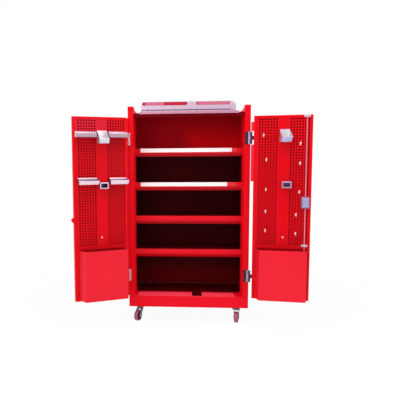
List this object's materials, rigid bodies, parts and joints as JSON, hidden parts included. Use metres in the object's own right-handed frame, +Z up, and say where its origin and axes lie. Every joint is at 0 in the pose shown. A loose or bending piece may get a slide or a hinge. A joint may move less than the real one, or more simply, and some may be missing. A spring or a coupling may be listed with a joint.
{
  "type": "tool cabinet",
  "caption": "Tall red sheet-steel tool cabinet on swivel casters, with shelves and two open pegboard doors that carry bins, trays, holders and a rod lock.",
  "frame": {"origin": "on the floor, in the middle of the rectangle that the cabinet covers with its doors open as in the picture", "axes": "+Z up, +X to the right and +Y to the back, seen by someone who faces the open front"},
  "size_m": [1.8926, 0.8248, 1.9056],
  "materials": {
    "red_paint": "gloss",
    "zinc": "satin",
    "lock_steel": "satin",
    "white_strip": "matt",
    "fork_steel": "satin",
    "wheel_rubber": "matt"
  },
  "bodies": {
    "cabinet": {"base_pan": "red_paint", "left_side_panel": "red_paint", "right_side_panel": "red_paint", "left_side_liner": "red_paint", "right_side_liner": "red_paint", "back_panel": "red_paint", "roof_tray": "red_paint", "header_channel": "red_paint", "left_corner_cap": "red_paint", "right_corner_cap": "red_paint", "shelf_1": "red_paint", "shelf_2": "red_paint", "shelf_3": "red_paint", "shelf_4": "red_paint", "roof_front_trim": "zinc", "gallery_panel": "zinc", "label_strip_upper": "white_strip", "label_strip_lower": "white_strip", "left_hinge_post_leaf_lower": "zinc", "left_hinge_post_leaf_upper": "zinc", "right_hinge_post_leaf_lower": "zinc", "right_hinge_post_leaf_upper": "zinc"},
    "left_door": {"left_door_shell": "red_paint", "left_pegboard": "red_paint", "left_door_bin": "red_paint", "left_catch_tongue": "red_paint", "left_slant_holder": "zinc", "left_square_holder": "zinc", "left_hinge_door_leaf_lower": "zinc", "left_hinge_door_leaf_upper": "zinc", "tray_upper_hinge": "zinc", "tray_upper_free": "zinc", "tray_lower_hinge": "zinc", "tray_lower_free": "zinc"},
    "right_door": {"right_door_shell": "red_paint", "right_pegboard": "red_paint", "right_door_bin": "red_paint", "right_slant_holder": "zinc", "right_square_holder": "zinc", "lock_case": "lock_steel", "rod_guide_upper": "zinc", "rod_guide_lower": "zinc", "right_hinge_door_leaf_lower": "zinc", "right_hinge_door_leaf_upper": "zinc"},
    "lock_handle": {"lock_lever": "lock_steel", "lock_cam": "lock_steel"},
    "upper_rod": {"upper_lock_rod": "zinc"},
    "lower_rod": {"lower_lock_rod": "zinc"},
    "swivel_front_left": {"caster_fork_front_left": "fork_steel", "caster_axle_front_left": "zinc"},
    "wheel_front_left": {"caster_wheel_front_left": "wheel_rubber"},
    "swivel_front_right": {"caster_fork_front_right": "fork_steel", "caster_axle_front_right": "zinc"},
    "wheel_front_right": {"caster_wheel_front_right": "wheel_rubber"},
    "swivel_rear_left": {"caster_fork_rear_left": "fork_steel", "caster_axle_rear_left": "zinc"},
    "wheel_rear_left": {"caster_wheel_rear_left": "wheel_rubber"},
    "swivel_rear_right": {"caster_fork_rear_right": "fork_steel", "caster_axle_rear_right": "zinc"},
    "wheel_rear_right": {"caster_wheel_rear_right": "wheel_rubber"}
  },
  "joints": [
    {"name": "left_door_hinge", "type": "hinge", "parent": "cabinet", "child": "left_door", "pos_m": [-0.50638, -0.09761, 1], "axis": [0, 0, -1], "range_deg": [-154.5, 23.5]},
    {"name": "right_door_hinge", "type": "hinge", "parent": "cabinet", "child": "right_door", "pos_m": [0.46762, -0.09761, 1], "axis": [0, 0, 1], "range_deg": [-172.2, 5.8]},
    {"name": "lock_lever_turn", "type": "hinge", "parent": "right_door", "child": "lock_handle", "pos_m": [0.90405, -0.1574, 1.033], "axis": [-0.1357, -0.9907, 0], "range_deg": [0, 90]},
    {"name": "upper_rod_slide", "type": "slide", "parent": "right_door", "child": "upper_rod", "axis": [0, 0, 1], "range_m": [0, 0.025]},
    {"name": "lower_rod_slide", "type": "slide", "parent": "right_door", "child": "lower_rod", "axis": [0, 0, -1], "range_m": [0, 0.025]},
    {"name": "swivel_front_left_turn", "type": "hinge", "parent": "cabinet", "child": "swivel_front_left", "pos_m": [-0.43438, -0.01261, 0.11], "axis": [0, 0, 1], "continuous": true},
    {"name": "wheel_front_left_spin", "type": "hinge", "parent": "swivel_front_left", "child": "wheel_front_left", "pos_m": [-0.44875, -0.04343, 0.04642], "axis": [-0.9063, 0.4226, 0], "continuous": true},
    {"name": "swivel_front_right_turn", "type": "hinge", "parent": "cabinet", "child": "swivel_front_right", "pos_m": [0.39562, -0.01261, 0.11], "axis": [0, 0, 1], "continuous": true},
    {"name": "wheel_front_right_spin", "type": "hinge", "parent": "swivel_front_right", "child": "wheel_front_right", "pos_m": [0.38856, -0.04587, 0.04642], "axis": [-0.9781, 0.2079, 0], "continuous": true},
    {"name": "swivel_rear_left_turn", "type": "hinge", "parent": "cabinet", "child": "swivel_rear_left", "pos_m": [-0.43438, 0.33739, 0.11], "axis": [0, 0, 1], "continuous": true},
    {"name": "wheel_rear_left_spin", "type": "hinge", "parent": "swivel_rear_left", "child": "wheel_rear_left", "pos_m": [-0.45138, 0.30794, 0.04642], "axis": [-0.866, 0.5, 0], "continuous": true},
    {"name": "swivel_rear_right_turn", "type": "hinge", "parent": "cabinet", "child": "swivel_rear_right", "pos_m": [0.39562, 0.33739, 0.11], "axis": [0, 0, 1], "continuous": true},
    {"name": "wheel_rear_right_spin", "type": "hinge", "parent": "swivel_rear_right", "child": "wheel_rear_right", "pos_m": [0.41513, 0.30954, 0.04642], "axis": [-0.8192, -0.5736, 0], "continuous": true}
  ],
  "couplings": [
    {"joint": "upper_rod_slide", "follows": "lock_lever_turn", "m_per_rad": 0.0159},
    {"joint": "lower_rod_slide", "follows": "lock_lever_turn", "m_per_rad": 0.0159}
  ]
}
